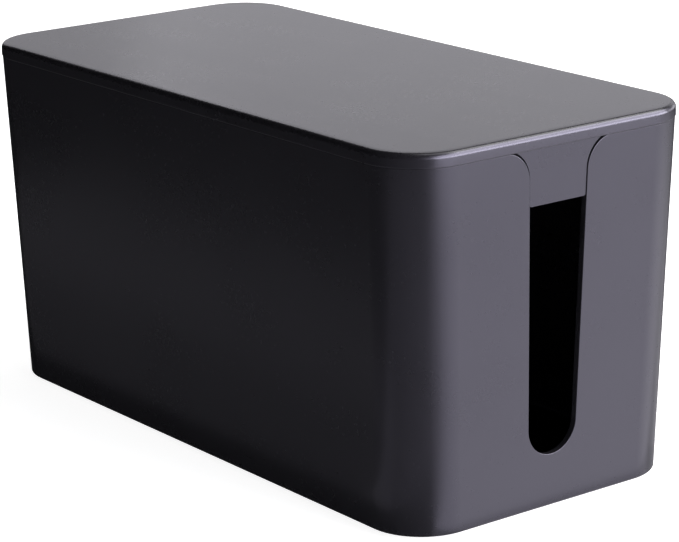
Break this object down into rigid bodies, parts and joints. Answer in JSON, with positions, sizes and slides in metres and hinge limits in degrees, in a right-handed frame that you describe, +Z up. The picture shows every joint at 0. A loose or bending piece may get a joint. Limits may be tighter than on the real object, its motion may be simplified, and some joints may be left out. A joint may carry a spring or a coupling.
{
  "type": "cable management box",
  "caption": "Lidded box that hides a power strip and its cables, with a tall cable slot in each end and a lift-off lid.",
  "frame": {"origin": "middle of the footprint, on the surface that the feet stand on", "axes": "+X along the box towards one of its slotted ends, +Y across it, +Z up"},
  "size_m": [0.236, 0.1164, 0.1214],
  "materials": {
    "tub_plastic": "satin, fine moulded texture, charcoal",
    "lid_plastic": "satin, fine moulded texture, charcoal",
    "foot_rubber": "soft matt black"
  },
  "bodies": {
    "box": {"tub": "tub_plastic", "foot_front_left": "foot_rubber", "foot_front_right": "foot_rubber", "foot_rear_left": "foot_rubber", "foot_rear_right": "foot_rubber"},
    "cover": {"lid": "lid_plastic"}
  },
  "joints": [
    {"name": "lid_lift", "type": "slide", "parent": "box", "child": "cover", "axis": [0, 0, 1], "range_m": [0, 0.16]}
  ]
}
